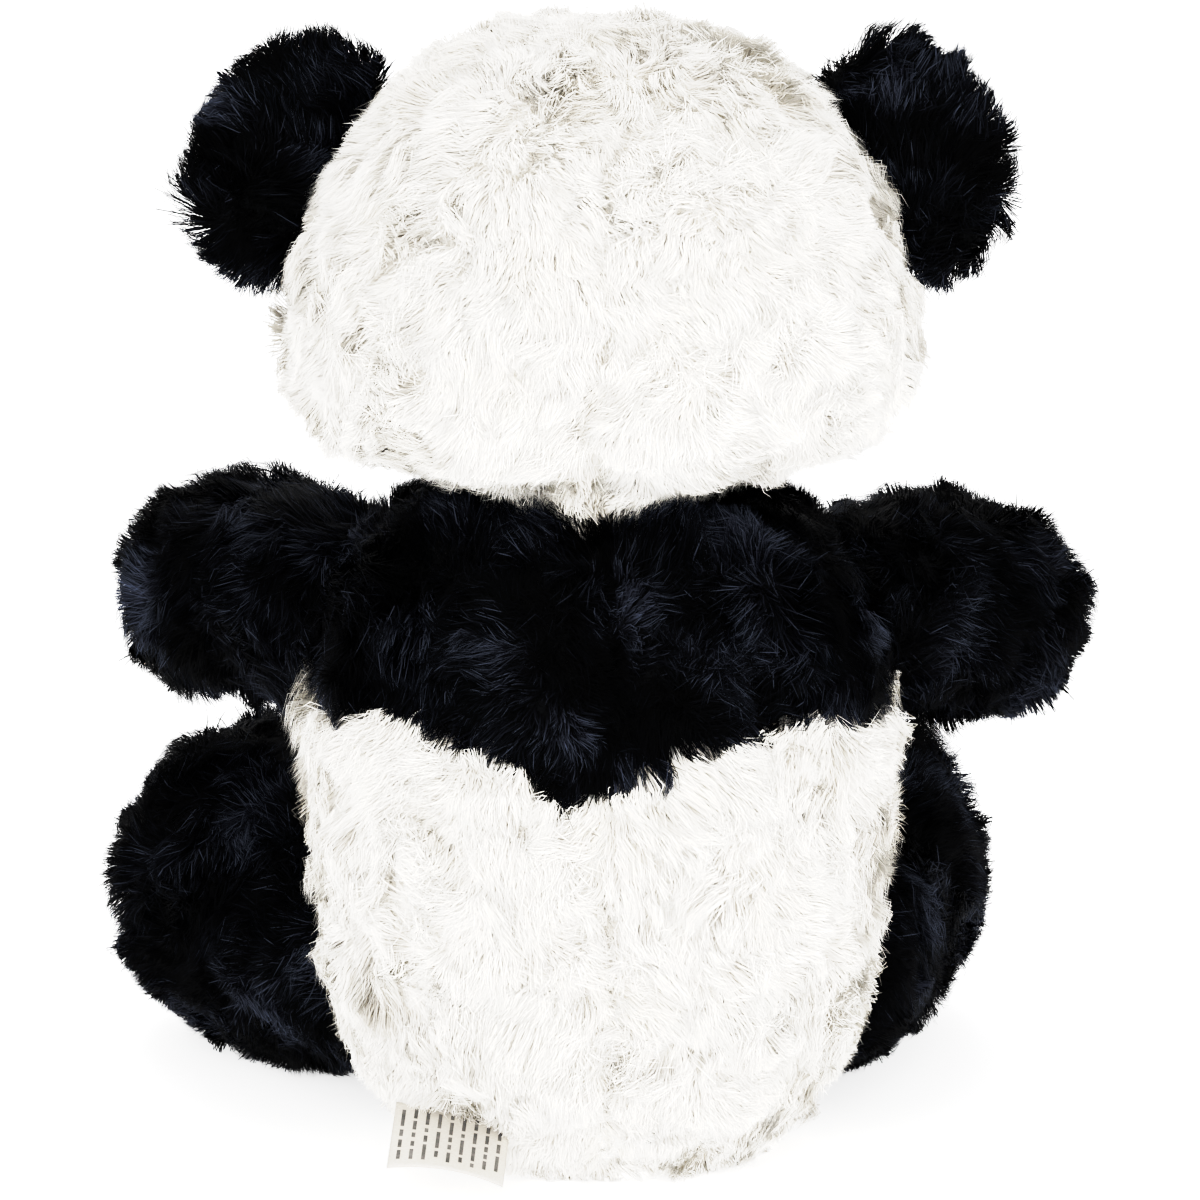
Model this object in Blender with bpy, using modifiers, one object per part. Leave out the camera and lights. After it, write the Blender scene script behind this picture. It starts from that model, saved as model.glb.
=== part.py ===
"""A seated plush panda, 35 cm tall, as its sewn panels, stuffing, safety eyes and nose, ears and limbs.

Metres, +Z up. The origin is the middle of the flat seat, the face looks along -Y and the toy's own left
side is +X. Every soft form is a stack of rounded sections smoothed by subdivision. Its cover is the layer
between that form and a slightly smaller one, cut along the seams into panels, and its stuffing fills the
inside. Each limb and the neck turn on a ball of stuffing set in a round opening of the body.
"""

import math

import bmesh
import bpy
from mathutils import Matrix, Vector

# Fabric and clearances
CLOTH = 0.0025
GAP = 0.0004
SEAM = 0.0004
SOCKET_PLAY = 0.0016
ROUND_END = 0.0030
FLOOR_PLAY = 0.0003

# Head and neck
HEAD_Y = -0.015
EAR_SEAM_Y = -0.017
NECK = Vector((0.0, -0.008, 0.206))
NECK_RADIUS = 0.034

# Torso
TORSO_SEAM_Y = 0.0
SEAT_SEAM_Z = 0.020
CHEST_SEAM_Z = 0.146

# Arms: the ball of each shoulder, how far the arms turn out from straight ahead, and how far each hangs
SHOULDER = Vector((0.0800, -0.0350, 0.156))
SHOULDER_RADIUS = 0.028
ARM_OUT = {"left": math.radians(42), "right": math.radians(47)}
ARM_DROP = {"left": math.radians(4), "right": math.radians(13)}

# Legs: the ball of each hip, and how far each leg is spread from straight ahead
HIP = Vector((0.0615, -0.0450, 0.039))
HIP_RADIUS = 0.034
LEG_SPREAD = {"left": math.radians(38), "right": math.radians(8)}
LEG_SPREAD_LEAST = math.radians(4)
RELIEF = 0.0012
SOLE_SEAM = 0.084

# Ears: the middle of each base, its slope away from the head, and how far the ear folds
EAR = Vector((0.0750, -0.026, 0.2835))
EAR_SLOPE = math.radians(28)
EAR_FOLD = math.radians(15)

# Face
MUZZLE = Vector((0.0, -0.078, 0.239))
EYE = Vector((0.031, -0.0893, 0.264))
EYE_TURN = math.radians(16)
NOSE = Vector((0.0, -0.0983, 0.2468))
NOSE_TURN = math.radians(74)
NOSE_WIDENING = 1.25

# Eye patches: an oval, longer down its slanted axis, whose middle lies a little below and outside the eye
PATCH_THICKNESS = 0.0022
PATCH_RADIUS = 0.0145
PATCH_STRETCH = (0.95, 1.0, 1.35, 1.0)
PATCH_OUT = 0.001
PATCH_DOWN = 0.003
PATCH_TILT = math.radians(28)
PATCH_CUT = (0.06, -0.03)

# Shanks and lock washers of the eyes and nose, and the room for them in the stuffing
SHANK_RADIUS = 0.0016
WASHER_RADIUS = 0.0065
WASHER_THICKNESS = 0.0014
EYE_WASHER_DEPTH = 0.0085
NOSE_WASHER_DEPTH = 0.0080
SHANK_ROOM = SHANK_RADIUS + GAP
WASHER_ROOM = WASHER_RADIUS + GAP
ROOM_FRONT = 0.0100
ROOM_BACK = -0.0160

# Eye and nose, turned: radius and height, from the top of the dome round to the end of the shank
EYE_PROFILE = (
    (0.0, 0.0052),
    (0.0027, 0.0047),
    (0.0048, 0.0031),
    (0.0060, 0.0010),
    (0.0060, 0.0),
    (SHANK_RADIUS, 0.0),
    (SHANK_RADIUS, -0.0140),
    (0.0, -0.0145),
)
NOSE_PROFILE = (
    (0.0, 0.0062),
    (0.0045, 0.0055),
    (0.0080, 0.0032),
    (0.0092, 0.0008),
    (0.0088, 0.0),
    (SHANK_RADIUS, 0.0),
    (SHANK_RADIUS, -0.0120),
    (0.0, -0.0125),
)

# Mouth: one embroidered line that dips on both sides of the middle
MOUTH_Y = -0.0994
MOUTH_Z = 0.2350
MOUTH_HALF = 0.013
MOUTH_DIP = 0.0035
MOUTH_BEND = 0.0012
MOUTH_STEPS = 16
THREAD_RADIUS = 0.0007

# Care label
LABEL_WIDTH = 0.034
LABEL_DROP = 0.025
LABEL_SEWN_IN = 0.004
LABEL_THICKNESS = 0.0009
LABEL_X = 0.043
LABEL_Y = 0.0460
LABEL_TILT = math.radians(10)
LABEL_LEAN = math.radians(62)

SIDES = {"left": 1, "right": -1}
AROUND = 12
AROUND_LIMB = 8
TURNED_STEPS = 12
BALL_SEGMENTS = 16
BALL_RINGS = 10
PIVOT_SIZE = 0.02
FAR = 0.4

# Sections of each soft form along its own axis: height, middle, half width, half depth, squareness.
HEAD_SECTIONS = (
    (0.2075, HEAD_Y, 0.041, 0.032, 2.2),
    (0.2125, HEAD_Y, 0.071, 0.055, 2.4),
    (0.2260, HEAD_Y, 0.0880, 0.069, 2.5),
    (0.2450, HEAD_Y, 0.0895, 0.075, 2.4),
    (0.2700, HEAD_Y, 0.0835, 0.075, 2.4),
    (0.2960, HEAD_Y, 0.0725, 0.068, 2.3),
    (0.3180, HEAD_Y, 0.0540, 0.052, 2.2),
    (0.3310, HEAD_Y, 0.0275, 0.027, 2.1),
)
TORSO_SECTIONS = (
    (-0.0120, 0.001, 0.034, 0.030, 2.1),
    (0.0060, -0.001, 0.057, 0.045, 2.1),
    (0.0280, 0.001, 0.0715, 0.059, 2.2),
    (0.0650, 0.003, 0.0770, 0.068, 2.3),
    (0.1100, 0.001, 0.0820, 0.066, 2.3),
    (0.1480, -0.002, 0.0850, 0.060, 2.4),
    (0.1800, -0.005, 0.0740, 0.049, 2.4),
    (0.2020, -0.008, 0.0400, 0.032, 2.2),
)
ARM_SECTIONS = (
    (-0.0262, 0.0, 0.0140, 0.0140, 2.0),
    (-0.0160, 0.0, 0.0230, 0.0230, 2.0),
    (0.0000, 0.0, 0.0276, 0.0276, 2.0),
    (0.0240, 0.0, 0.0300, 0.0300, 2.1),
    (0.0480, -0.001, 0.0305, 0.0310, 2.2),
    (0.0660, -0.002, 0.0250, 0.0260, 2.1),
    (0.0740, -0.002, 0.0125, 0.0130, 2.0),
)
LEG_SECTIONS = (
    (-0.0320, 0.0, 0.0170, 0.0170, 2.0),
    (-0.0200, 0.0, 0.0275, 0.0275, 2.0),
    (0.0000, 0.0, 0.0338, 0.0338, 2.0),
    (0.0240, 0.002, 0.0395, 0.0400, 2.2),
    (0.0520, 0.006, 0.0440, 0.0460, 2.3),
    (0.0780, 0.010, 0.0460, 0.0500, 2.3),
    (0.0930, 0.011, 0.0390, 0.0430, 2.2),
    (0.0980, 0.011, 0.0190, 0.0230, 2.0),
)
EAR_SECTIONS = (
    (-0.0080, 0.0, 0.0280, 0.0060, 2.0),
    (0.0020, 0.0, 0.0375, 0.0090, 2.2),
    (0.0190, 0.0, 0.0400, 0.0090, 2.2),
    (0.0350, 0.0, 0.0325, 0.0075, 2.2),
    (0.0440, 0.0, 0.0175, 0.0045, 2.0),
)
MUZZLE_SECTIONS = (
    (-0.0200, 0.0, 0.0290, 0.0215, 2.2),
    (0.0000, 0.0, 0.0290, 0.0215, 2.2),
    (0.0130, 0.0, 0.0260, 0.0190, 2.2),
    (0.0210, 0.0, 0.0160, 0.0110, 2.1),
)

# Lower edge of the black yoke on the back, as points across and up: level, with one short point
YOKE_EDGE = (
    (-0.120, 0.128),
    (-0.060, 0.144),
    (-0.024, 0.138),
    (0.006, 0.122),
    (0.022, 0.134),
    (0.060, 0.145),
    (0.120, 0.130),
)
THROAT_Z = 0.150
FOREHEAD_EDGE = ((0.011, 0.240), (0.012, 0.262), (0.024, 0.320), (0.026, 0.360))

COLOURS = {
    "white_plush": ((0.93, 0.91, 0.86, 1.0), 0.95, 0.0),
    "black_plush": ((0.012, 0.013, 0.018, 1.0), 0.95, 0.0),
    "stuffing": ((0.90, 0.90, 0.90, 1.0), 1.0, 0.0),
    "eye_plastic": ((0.010, 0.008, 0.007, 1.0), 0.08, 0.0),
    "nose_plastic": ((0.015, 0.014, 0.015, 1.0), 0.30, 0.0),
    "washer_plastic": ((0.75, 0.75, 0.72, 1.0), 0.45, 0.0),
    "thread": ((0.02, 0.02, 0.02, 1.0), 0.70, 0.0),
    "label_satin": ((0.84, 0.81, 0.76, 1.0), 0.50, 0.0),
}


def clear_scene():
    for old in list(bpy.data.objects):
        bpy.data.objects.remove(old, do_unlink=True)


def make_collection(name):
    made = bpy.data.collections.new(name)
    bpy.context.scene.collection.children.link(made)
    return made


def make_material(name, colour, roughness, metallic):
    material = bpy.data.materials.new(name)
    material.use_nodes = True
    shader = material.node_tree.nodes["Principled BSDF"]
    shader.inputs["Base Color"].default_value = colour
    shader.inputs["Roughness"].default_value = roughness
    shader.inputs["Metallic"].default_value = metallic
    material.diffuse_color = colour
    return material


clear_scene()
PARTS = make_collection("plush_panda")
CUTTERS = make_collection("plush_panda_cutters")
MATERIALS = {name: make_material(name, *values) for name, values in COLOURS.items()}


def place(name, mesh, frame, slot):
    """A new object. One with no material slot is a cutter."""
    made = bpy.data.objects.new(name, mesh)
    made.matrix_world = frame
    if slot:
        mesh.materials.append(MATERIALS[slot])
        PARTS.objects.link(made)
    else:
        CUTTERS.objects.link(made)
        made.hide_render = True
        made.display_type = "WIRE"
    return made


def section_point(turn, middle, half_width, half_depth, squareness):
    """A point of a superellipse; squareness 2 is an ellipse and more is squarer."""
    power = 2 / squareness
    across, along = math.cos(turn), math.sin(turn)
    return (
        math.copysign(abs(across) ** power, across) * half_width,
        math.copysign(abs(along) ** power, along) * half_depth + middle,
    )


def soft_form(name, sections, frame=Matrix(), slot=None, inset=0.0, around=AROUND, smooth=True):
    """A closed form through the sections, drawn in all round by inset. Hidden forms stay unsmoothed."""
    growth = 1.0
    end_inset = inset + ROUND_END
    if smooth:
        end_inset = inset
        # Subdivision pulls a ring of points inwards by this much, so the cage starts that much larger.
        growth = 1 / (0.75 + 0.25 * math.cos(2 * math.pi / around))
    centre = (sections[0][0] + sections[-1][0]) / 2
    shorter = 1 - 2 * end_inset / (sections[-1][0] - sections[0][0])
    shape = bmesh.new()
    rings = []
    for height, middle, half_width, half_depth, squareness in sections:
        level = centre + (height - centre) * shorter
        ring = []
        for step in range(around):
            turn = 2 * math.pi * (step + 0.5) / around
            x, y = section_point(
                turn,
                middle,
                (half_width - inset) * growth,
                (half_depth - inset) * growth,
                squareness,
            )
            ring.append(shape.verts.new((x, y, level)))
        rings.append(ring)
    for low, high in zip(rings, rings[1:]):
        for step in range(around):
            after = (step + 1) % around
            shape.faces.new((low[step], low[after], high[after], high[step]))
    shape.faces.new(reversed(rings[0]))
    shape.faces.new(rings[-1])
    if not smooth:
        # One diagonal for all, so that the stuffing's facets keep their gap to the cloth's.
        bmesh.ops.triangulate(shape, faces=shape.faces, quad_method="FIXED")
    mesh = bpy.data.meshes.new(name)
    shape.to_mesh(mesh)
    shape.free()
    mesh.shade_smooth()
    made = place(name, mesh, frame, slot)
    if smooth:
        subdivision = made.modifiers.new("smooth", "SUBSURF")
        subdivision.levels = 1
        subdivision.render_levels = 1
    return made


def block(name, low, high, frame=Matrix(), slot=None):
    shape = bmesh.new()
    bmesh.ops.create_cube(shape, size=1.0)
    low, high = Vector(low), Vector(high)
    size = high - low
    bmesh.ops.scale(shape, vec=size, verts=shape.verts)
    bmesh.ops.translate(shape, vec=(low + high) / 2, verts=shape.verts)
    mesh = bpy.data.meshes.new(name)
    shape.to_mesh(mesh)
    shape.free()
    return place(name, mesh, frame, slot)


def prism(name, outline, front, back):
    """A cutter: an outline of points across and up, extruded from front to back."""
    shape = bmesh.new()
    face = shape.faces.new([shape.verts.new((x, front, z)) for x, z in outline])
    grown = bmesh.ops.extrude_face_region(shape, geom=[face])
    moved = [item for item in grown["geom"] if isinstance(item, bmesh.types.BMVert)]
    bmesh.ops.translate(shape, vec=(0, back - front, 0), verts=moved)
    bmesh.ops.recalc_face_normals(shape, faces=shape.faces)
    mesh = bpy.data.meshes.new(name)
    shape.to_mesh(mesh)
    shape.free()
    return place(name, mesh, Matrix(), None)


def ball(name, centre, radius, slot=None):
    shape = bmesh.new()
    bmesh.ops.create_uvsphere(shape, u_segments=BALL_SEGMENTS, v_segments=BALL_RINGS, radius=radius)
    mesh = bpy.data.meshes.new(name)
    shape.to_mesh(mesh)
    shape.free()
    mesh.shade_smooth()
    return place(name, mesh, Matrix.Translation(centre), slot)


def turned(name, profile, frame, slot=None, ring=False):
    """A turned piece: profile points of radius and height, from the top of its outer side to the bottom.

    A ring's profile closes on itself; any other starts and ends on the axis.
    """
    mesh = bpy.data.meshes.new(name)
    points = [(radius, 0.0, height) for radius, height in profile]
    edges = [(i, i + 1) for i in range(len(points) - 1)]
    if ring:
        edges.append((len(points) - 1, 0))
    mesh.from_pydata(points, edges, [])
    made = place(name, mesh, frame, slot)
    screw = made.modifiers.new("turn", "SCREW")
    screw.axis = "Z"
    screw.angle = 2 * math.pi
    screw.steps = TURNED_STEPS
    screw.render_steps = TURNED_STEPS
    screw.use_merge_vertices = True
    screw.merge_threshold = 0.00001
    screw.use_smooth_shade = True
    return made


def cut(piece, cutter, operation="DIFFERENCE"):
    # The exact solver loses faces on cloth this thin after several cuts, and every mesh here is closed.
    boolean = piece.modifiers.new(f"{operation.lower()}_{cutter.name}", "BOOLEAN")
    boolean.operation = operation
    boolean.solver = "MANIFOLD"
    boolean.object = cutter


def keep(piece, cutter):
    cut(piece, cutter, "INTERSECT")


def cover(name, sections, cavity, slot, keeps, cuts=(), frame=Matrix(), around=AROUND):
    """A panel: the cloth layer of a soft form, kept inside the seam cutters and opened by the others."""
    panel = soft_form(name, sections, frame, slot, around=around)
    cut(panel, cavity)
    for cutter in keeps:
        keep(panel, cutter)
    for cutter in cuts:
        cut(panel, cutter)
    return panel


def pivot(name, centre, parent=None):
    made = bpy.data.objects.new(name, None)
    made.empty_display_size = PIVOT_SIZE
    made.location = centre
    PARTS.objects.link(made)
    if parent:
        made.parent = parent
        made.matrix_parent_inverse = Matrix.Translation(-parent.location)
    return made


def hang(pieces, centre):
    """Parents pieces to the empty of their joint, where they are."""
    for piece in pieces:
        piece.parent = centre
        piece.matrix_parent_inverse = Matrix.Translation(-centre.location)


def limb_frame(centre, out, drop, side):
    """A limb's frame: its Z runs along the limb, its Y up, and its X across."""
    along = Vector(
        (
            side * math.sin(out) * math.cos(drop),
            -math.cos(out) * math.cos(drop),
            -math.sin(drop),
        )
    )
    across = Vector((0, 0, 1)).cross(along).normalized()
    up = along.cross(across)
    frame = Matrix((across, up, along)).transposed().to_4x4()
    frame.translation = centre
    return frame


def mirrored(point, side):
    return Vector((side * point.x, point.y, point.z))


# Pivots, one on each joint's axis

neck_turn_pivot = pivot("neck_turn_pivot", NECK)
neck_nod_pivot = pivot("neck_nod_pivot", NECK, neck_turn_pivot)
shoulder_pivots = {}
hip_pivots = {}
ear_pivots = {}
for side_name, side in SIDES.items():
    shoulder_pivots[side_name] = pivot(f"shoulder_{side_name}_pivot", mirrored(SHOULDER, side))
    hip_pivots[side_name] = pivot(f"hip_{side_name}_pivot", mirrored(HIP, side))
    ear_pivots[side_name] = pivot(f"ear_{side_name}_pivot", mirrored(EAR, side), neck_nod_pivot)

# Openings

neck_opening = ball("neck_opening", NECK, NECK_RADIUS + SOCKET_PLAY)
shoulder_openings = [
    ball(f"shoulder_{name}_opening", mirrored(SHOULDER, side), SHOULDER_RADIUS + SOCKET_PLAY)
    for name, side in SIDES.items()
]
hip_openings = [
    ball(f"hip_{name}_opening", mirrored(HIP, side), HIP_RADIUS + SOCKET_PLAY)
    for name, side in SIDES.items()
]

# Head: stuffing, then the panels that meet at the ear-to-ear seam, the back seam and the forehead gusset

head_cavity = soft_form("head_cavity", HEAD_SECTIONS, inset=CLOTH, smooth=False)
head_stuffing = soft_form("head_stuffing", HEAD_SECTIONS, slot="stuffing", inset=CLOTH + GAP, smooth=False)
cut(head_stuffing, neck_opening)

behind_ears = block("behind_ears", (-FAR, EAR_SEAM_Y + SEAM, 0), (FAR, FAR, FAR))
before_ears = block("before_ears", (-FAR, -FAR, 0), (FAR, EAR_SEAM_Y - SEAM, FAR))
half_blocks = {
    name: block(f"{name}_half", (min(0, side * FAR) + max(0, side) * SEAM, -FAR, -FAR),
                (max(0, side * FAR) + min(0, side) * SEAM, FAR, FAR))
    for name, side in SIDES.items()
}
gusset_outline = [(x - SEAM, z) for x, z in FOREHEAD_EDGE]
gusset_outline += [(-x, z) for x, z in reversed(gusset_outline)]
forehead_gusset = prism("forehead_gusset", gusset_outline, -FAR, 0.0)
chin_width, chin_top = FOREHEAD_EDGE[0]
chin_gusset = block(
    "chin_gusset",
    (-chin_width + SEAM, -FAR, 0),
    (chin_width - SEAM, 0, chin_top - 2 * SEAM),
)
gusset_edge = [(x + SEAM, z) for x, z in FOREHEAD_EDGE]
gusset_edge = [(chin_width + SEAM, THROAT_Z)] + gusset_edge
gusset_edge += [(-x, z) for x, z in reversed(gusset_edge)]
gusset_room = prism("gusset_room", gusset_edge, -FAR, FAR / 2)

muzzle_frame = Matrix.Translation(MUZZLE) @ Matrix.Rotation(math.radians(90), 4, "X")
muzzle_cavity = soft_form("muzzle_cavity", MUZZLE_SECTIONS, muzzle_frame, inset=CLOTH, around=AROUND_LIMB)
head_skin = soft_form("head_skin", HEAD_SECTIONS, inset=-GAP)

face_panels = {
    side_name: cover(f"face_{side_name}", HEAD_SECTIONS, head_cavity, "white_plush",
                     (before_ears, half_blocks[side_name]), (gusset_room, neck_opening, muzzle_cavity))
    for side_name in SIDES
}
head_panels = list(face_panels.values())
for side_name in SIDES:
    head_panels.append(
        cover(f"head_back_{side_name}", HEAD_SECTIONS, head_cavity, "white_plush",
              (behind_ears, half_blocks[side_name]), (neck_opening,))
    )
for panel_name, gusset in (("forehead", forehead_gusset), ("chin", chin_gusset)):
    head_panels.append(
        cover(panel_name, HEAD_SECTIONS, head_cavity, "white_plush",
              (before_ears, gusset), (neck_opening, muzzle_cavity))
    )

muzzle = soft_form("muzzle", MUZZLE_SECTIONS, muzzle_frame, "white_plush", around=AROUND_LIMB)
cut(muzzle, muzzle_cavity)
cut(muzzle, head_skin)
muzzle_room = soft_form("muzzle_room", MUZZLE_SECTIONS, muzzle_frame, inset=-GAP, around=AROUND_LIMB)
muzzle_stuffing = soft_form(
    "muzzle_stuffing", MUZZLE_SECTIONS, muzzle_frame, "stuffing", inset=CLOTH + GAP, around=AROUND_LIMB
)
cut(muzzle_stuffing, head_cavity)

# Safety eyes and nose: a dome and shank in front, and a lock washer behind the cloth


def washer_profile(bore, rim, thickness):
    return ((bore, thickness), (rim, thickness), (rim, 0.0), (bore, 0.0))


def pocket_profile(depth):
    """The room in the stuffing for a washer at this depth and for the shank behind it."""
    return (
        (0.0, ROOM_FRONT),
        (WASHER_ROOM, ROOM_FRONT),
        (WASHER_ROOM, -depth - GAP),
        (SHANK_ROOM, -depth - GAP),
        (SHANK_ROOM, ROOM_BACK),
        (0.0, ROOM_BACK),
    )


bore_profile = ((0.0, ROOM_FRONT), (SHANK_ROOM, ROOM_FRONT), (SHANK_ROOM, ROOM_BACK), (0.0, ROOM_BACK))
oval_front, oval_back = PATCH_CUT
oval_profile = ((0.0, oval_front), (PATCH_RADIUS, oval_front), (PATCH_RADIUS, oval_back), (0.0, oval_back))
face_trim = []
for side_name, side in SIDES.items():
    eye_centre = mirrored(EYE, side)
    look = Matrix.Rotation(side * EYE_TURN, 4, "Z") @ Matrix.Rotation(math.radians(90), 4, "X")
    eye_frame = Matrix.Translation(eye_centre) @ look
    eye_bore = turned(f"eye_{side_name}_bore", bore_profile, eye_frame)
    eye_pocket = turned(f"eye_{side_name}_pocket", pocket_profile(EYE_WASHER_DEPTH), eye_frame)
    eye = turned(f"eye_{side_name}", EYE_PROFILE, eye_frame, "eye_plastic")
    washer_frame = eye_frame @ Matrix.Translation((0, 0, -EYE_WASHER_DEPTH))
    washer = turned(
        f"eye_washer_{side_name}",
        washer_profile(SHANK_ROOM, WASHER_RADIUS, WASHER_THICKNESS),
        washer_frame,
        "washer_plastic",
        ring=True,
    )
    patch_oval = turned(
        f"patch_{side_name}_oval",
        oval_profile,
        Matrix.Translation(eye_centre + Vector((side * PATCH_OUT, 0, -PATCH_DOWN)))
        @ Matrix.Rotation(side * PATCH_TILT, 4, "Y")
        @ Matrix.Diagonal(PATCH_STRETCH)
        @ Matrix.Rotation(math.radians(90), 4, "X"),
    )
    patch = soft_form(f"eye_patch_{side_name}", HEAD_SECTIONS, slot="black_plush",
                      inset=-(GAP + PATCH_THICKNESS))
    cut(patch, head_skin)
    keep(patch, patch_oval)
    cut(patch, muzzle_room)
    cut(patch, eye_bore)
    cut(face_panels[side_name], eye_bore)
    cut(head_stuffing, eye_pocket)
    face_trim += [eye, washer, patch]

nose_frame = Matrix.Translation(NOSE) @ Matrix.Rotation(NOSE_TURN, 4, "X")
nose_bore = turned("nose_bore", bore_profile, nose_frame)
nose_pocket = turned("nose_pocket", pocket_profile(NOSE_WASHER_DEPTH), nose_frame)
nose_widening = Matrix.Diagonal((NOSE_WIDENING, 1.0, 1.0, 1.0))
nose = turned("nose", NOSE_PROFILE, nose_frame @ nose_widening, "nose_plastic")
nose_washer = turned(
    "nose_washer",
    washer_profile(SHANK_ROOM * NOSE_WIDENING, WASHER_RADIUS, WASHER_THICKNESS),
    nose_frame @ Matrix.Translation((0, 0, -NOSE_WASHER_DEPTH)),
    "washer_plastic",
    ring=True,
)
cut(muzzle, nose_bore)
cut(muzzle_stuffing, nose_pocket)

# Mouth

thread_line = bpy.data.curves.new("mouth_stitching", "CURVE")
thread_line.dimensions = "3D"
thread_line.bevel_depth = THREAD_RADIUS
thread_line.bevel_resolution = 1
thread_line.use_fill_caps = True
spline = thread_line.splines.new("POLY")
spline.points.add(MOUTH_STEPS)
for step in range(MOUTH_STEPS + 1):
    across = 2 * step / MOUTH_STEPS - 1
    height = MOUTH_Z - MOUTH_DIP * abs(math.sin(math.pi * across))
    front = MOUTH_Y + MOUTH_BEND * across**2
    spline.points[step].co = (across * MOUTH_HALF, front, height, 1)
mouth = bpy.data.objects.new("mouth_stitching", thread_line)
thread_line.materials.append(MATERIALS["thread"])
PARTS.objects.link(mouth)

head_pieces = head_panels + face_trim + [head_stuffing, muzzle, muzzle_stuffing, nose, nose_washer, mouth]
hang(head_pieces, neck_nod_pivot)

# Neck: the ball of stuffing that the head turns and nods on

neck_stuffing = ball("neck_stuffing", NECK, NECK_RADIUS, "stuffing")
hang([neck_stuffing], neck_turn_pivot)

# Ears: a front and a back panel each, rounded at the base and relieved so that they fold clear of the head

for side_name, side in SIDES.items():
    outwards = Vector((side * math.cos(EAR_SLOPE), 0, math.sin(EAR_SLOPE)))
    thick = Vector((0, -1, 0))
    wide = thick.cross(outwards)
    ear_frame = Matrix((wide, thick, outwards)).transposed().to_4x4()
    ear_frame.translation = mirrored(EAR, side)
    reliefs = []
    for fold in (-EAR_FOLD, 0.0, EAR_FOLD):
        turn = Matrix.Translation(mirrored(EAR, side)) @ Matrix.Rotation(fold, 4, wide)
        turn = turn @ Matrix.Translation(-mirrored(EAR, side))
        reliefs.append(
            soft_form(f"ear_{side_name}_relief_{len(reliefs)}", HEAD_SECTIONS, turn, inset=-RELIEF)
        )
    ear_pieces = []
    for face_name, low, high in (("front", SEAM / 2, FAR), ("back", -FAR, -SEAM / 2)):
        ear = soft_form(f"ear_{side_name}_{face_name}", EAR_SECTIONS, ear_frame, "black_plush",
                        around=AROUND_LIMB)
        half = block(f"ear_{side_name}_{face_name}_half", (-FAR, low, -FAR), (FAR, high, FAR), ear_frame)
        keep(ear, half)
        for relief in reliefs:
            cut(ear, relief)
        ear_pieces.append(ear)
    hang(ear_pieces, ear_pivots[side_name])

# Torso: stuffing, black yoke and chest, white lower back, belly and seat

ground = block("ground", (-FAR, -FAR, -FAR), (FAR, FAR, 0))
above_seat = block("above_seat", (-FAR, -FAR, SEAT_SEAM_Z + SEAM), (FAR, FAR, FAR))
below_seat = block("below_seat", (-FAR, -FAR, 0), (FAR, FAR, SEAT_SEAM_Z - SEAM))
behind_sides = block("behind_sides", (-FAR, TORSO_SEAM_Y + SEAM, 0), (FAR, FAR, FAR))
before_sides = block("before_sides", (-FAR, -FAR, 0), (FAR, TORSO_SEAM_Y - SEAM, FAR))
above_yoke = prism(
    "above_yoke",
    [(x, z + SEAM) for x, z in YOKE_EDGE] + [(FAR, FAR), (-FAR, FAR)],
    -FAR,
    FAR,
)
below_yoke = prism(
    "below_yoke",
    [(x, z - SEAM) for x, z in YOKE_EDGE] + [(FAR, 0), (-FAR, 0)],
    -FAR,
    FAR,
)
above_chest = block("above_chest", (-FAR, -FAR, CHEST_SEAM_Z + SEAM), (FAR, FAR, FAR))
below_chest = block("below_chest", (-FAR, -FAR, 0), (FAR, FAR, CHEST_SEAM_Z - SEAM))

torso_cavity = soft_form("torso_cavity", TORSO_SECTIONS, inset=CLOTH, smooth=False)
cut(torso_cavity, block("seat_cloth", (-FAR, -FAR, -FAR), (FAR, FAR, CLOTH)))
torso_stuffing = soft_form("body_stuffing", TORSO_SECTIONS, slot="stuffing", inset=CLOTH + GAP, smooth=False)
cut(torso_stuffing, block("seat_room", (-FAR, -FAR, -FAR), (FAR, FAR, CLOTH + GAP)))
# The body gives way where a leg that points straight ahead presses into it.
hip_reliefs = [
    soft_form(
        f"hip_{name}_relief",
        LEG_SECTIONS,
        limb_frame(mirrored(HIP, side), LEG_SPREAD_LEAST, 0.0, side),
        inset=-RELIEF,
        around=AROUND_LIMB,
    )
    for name, side in SIDES.items()
]
leg_openings = hip_openings + hip_reliefs
torso_openings = [neck_opening] + shoulder_openings + leg_openings

label_top = Vector((LABEL_X, LABEL_Y, SEAT_SEAM_Z))
label_frame = (
    Matrix.Translation(label_top)
    @ Matrix.Rotation(-LABEL_TILT, 4, "Y")
    @ Matrix.Rotation(LABEL_LEAN, 4, "X")
)
label_half = LABEL_WIDTH / 2
label = block(
    "care_label",
    (-label_half, -LABEL_THICKNESS / 2, LABEL_SEWN_IN - LABEL_DROP),
    (label_half, LABEL_THICKNESS / 2, LABEL_SEWN_IN),
    label_frame,
    "label_satin",
)
label_slot = block(
    "label_slot",
    (-label_half - GAP, -LABEL_THICKNESS / 2 - GAP, -LABEL_DROP),
    (label_half + GAP, LABEL_THICKNESS / 2 + GAP, LABEL_SEWN_IN + GAP),
    label_frame,
)

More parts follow.
